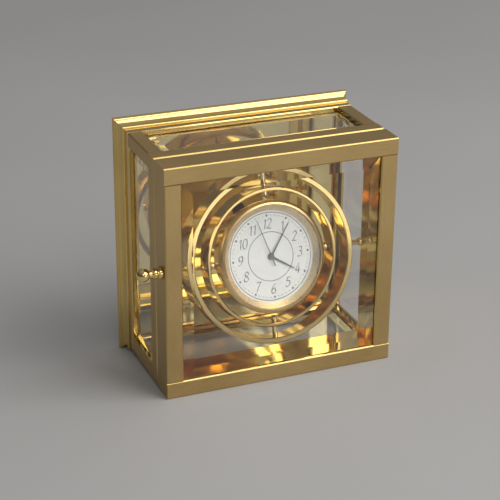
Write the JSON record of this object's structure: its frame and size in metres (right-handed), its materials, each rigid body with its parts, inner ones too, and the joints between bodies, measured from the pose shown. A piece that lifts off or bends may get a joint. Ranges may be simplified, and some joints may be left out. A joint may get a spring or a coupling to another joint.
{
  "type": "desk clock",
  "caption": "Square brass and glass desk clock with a hinged glass door, a moulded base and a round clock hung in gimbal rings.",
  "frame": {"origin": "centre of the felt under the moulded base, in the felt's outer face", "axes": "+Z towards 12 o'clock with the clock standing on its lower side, +X to the right of the dial, +Y out of the base, away from the dial"},
  "size_m": [0.1225, 0.0626, 0.1142],
  "materials": {
    "satin_brass": "satin champagne brass plate",
    "polished_brass": "polished yellow brass",
    "clear_glass": "clear polished",
    "steel": "bright steel",
    "wheel_plastic": "natural acetal",
    "black_plastic": "black moulded",
    "felt": "dark green felt",
    "dial_white": "matt white lacquer",
    "spacer_silver": "satin silver",
    "battery_steel": "bright",
    "stator_iron": "rolled",
    "coil_copper": "enamelled copper",
    "board_green": "solder mask",
    "hand_black": "gloss black paint"
  },
  "bodies": {
    "case": {"base_block": "polished_brass", "base_plate": "polished_brass", "base_felt": "felt", "base_screws": "steel", "back_rail_top": "polished_brass", "back_rail_bottom": "polished_brass", "back_stile_right": "polished_brass", "back_stile_left": "polished_brass", "corner_bar_top_right": "satin_brass", "corner_bar_top_left": "satin_brass", "corner_bar_bottom_right": "satin_brass", "corner_bar_bottom_left": "satin_brass", "front_rail_top": "satin_brass", "front_rail_bottom": "satin_brass", "front_stile_right": "satin_brass", "front_stile_left": "satin_brass", "side_glass_right": "clear_glass", "side_glass_top": "clear_glass", "side_glass_left": "clear_glass", "side_glass_bottom": "clear_glass", "case_pivots": "polished_brass", "catch_magnet": "steel", "hinge_leaf_case": "polished_brass", "hinge_pin": "steel"},
    "door": {"hinge_leaf_door": "polished_brass", "door_rail_top": "satin_brass", "door_rail_bottom": "satin_brass", "door_stile_right": "satin_brass", "door_stile_left": "satin_brass", "door_glass": "clear_glass", "door_knob": "polished_brass", "door_catch_plate": "steel"},
    "gimbal_outer": {"outer_ring": "polished_brass", "ring_pivots": "polished_brass"},
    "gimbal_inner": {"inner_ring": "polished_brass", "clock_pivots": "polished_brass"},
    "clock": {"bezel": "satin_brass", "crystal": "clear_glass", "clock_can": "polished_brass", "dial_spacer": "spacer_silver", "dial": "dial_white", "movement_frame": "black_plastic", "movement_back_plate": "black_plastic", "battery": "battery_steel", "battery_lid": "polished_brass", "back_cover": "polished_brass", "stator": "stator_iron", "coil": "coil_copper", "circuit_board": "board_green"},
    "seconds_arbor": {"second_wheel": "wheel_plastic", "second_hand": "hand_black"},
    "stepping_rotor": {"rotor": "wheel_plastic"},
    "fifth_arbor": {"fifth_wheel": "wheel_plastic"},
    "third_arbor": {"third_wheel": "wheel_plastic"},
    "minute_pipe": {"centre_wheel": "wheel_plastic", "minute_hand": "hand_black"},
    "motion_arbor": {"motion_wheel": "wheel_plastic"},
    "hour_pipe": {"hour_wheel": "wheel_plastic", "hour_hand": "hand_black"},
    "setting_shaft": {"setting_knob": "black_plastic"}
  },
  "joints": [
    {"name": "door_hinge", "type": "hinge", "parent": "case", "child": "door", "pos_m": [0.0548, -0.0493, 0], "axis": [0, 0, 1], "range_deg": [0, 110]},
    {"name": "outer_ring_pivot", "type": "hinge", "parent": "case", "child": "gimbal_outer", "pos_m": [0, -0.0462, 0], "axis": [1, 0, 0], "range_deg": [0, 26]},
    {"name": "inner_ring_pivot", "type": "hinge", "parent": "gimbal_outer", "child": "gimbal_inner", "pos_m": [0, -0.0462, 0], "axis": [0, 0.225, 0.9744], "range_deg": [-13, 7]},
    {"name": "clock_pivot", "type": "hinge", "parent": "gimbal_inner", "child": "clock", "pos_m": [0, -0.0462, 0], "axis": [0.9986, 0.051, -0.0118], "range_deg": [-2.5, 9.5]},
    {"name": "second_spin", "type": "hinge", "parent": "clock", "child": "seconds_arbor", "pos_m": [0, -0.0462, 0], "axis": [-0.0522, 0.9575, -0.2837], "continuous": true},
    {"name": "rotor_spin", "type": "hinge", "parent": "clock", "child": "stepping_rotor", "pos_m": [-0.00777, -0.04788, -0.00422], "axis": [-0.0522, 0.9575, -0.2837], "continuous": true},
    {"name": "fifth_spin", "type": "hinge", "parent": "clock", "child": "fifth_arbor", "pos_m": [-0.00414, -0.04709, -0.00225], "axis": [-0.0522, 0.9575, -0.2837], "continuous": true},
    {"name": "third_spin", "type": "hinge", "parent": "clock", "child": "third_arbor", "pos_m": [-0.00002, -0.04446, 0.00587], "axis": [-0.0522, 0.9575, -0.2837], "continuous": true},
    {"name": "minute_spin", "type": "hinge", "parent": "clock", "child": "minute_pipe", "pos_m": [0, -0.0462, 0], "axis": [-0.0522, 0.9575, -0.2837], "continuous": true},
    {"name": "motion_spin", "type": "hinge", "parent": "clock", "child": "motion_arbor", "pos_m": [0.00499, -0.04594, -0.00006], "axis": [-0.0522, 0.9575, -0.2837], "continuous": true},
    {"name": "hour_spin", "type": "hinge", "parent": "clock", "child": "hour_pipe", "pos_m": [0, -0.0462, 0], "axis": [-0.0522, 0.9575, -0.2837], "continuous": true},
    {"name": "setting_spin", "type": "hinge", "parent": "clock", "child": "setting_shaft", "pos_m": [0.01024, -0.04568, -0.00012], "axis": [-0.0522, 0.9575, -0.2837], "continuous": true}
  ],
  "couplings": [
    {"joint": "rotor_spin", "follows": "second_spin", "ratio": 30},
    {"joint": "fifth_spin", "follows": "second_spin", "ratio": -5},
    {"joint": "third_spin", "follows": "second_spin", "ratio": -0.13333},
    {"joint": "minute_spin", "follows": "second_spin", "ratio": 0.016667},
    {"joint": "motion_spin", "follows": "second_spin", "ratio": -0.0055556},
    {"joint": "hour_spin", "follows": "second_spin", "ratio": 0.0013889},
    {"joint": "setting_spin", "follows": "second_spin", "ratio": 0.013889}
  ]
}
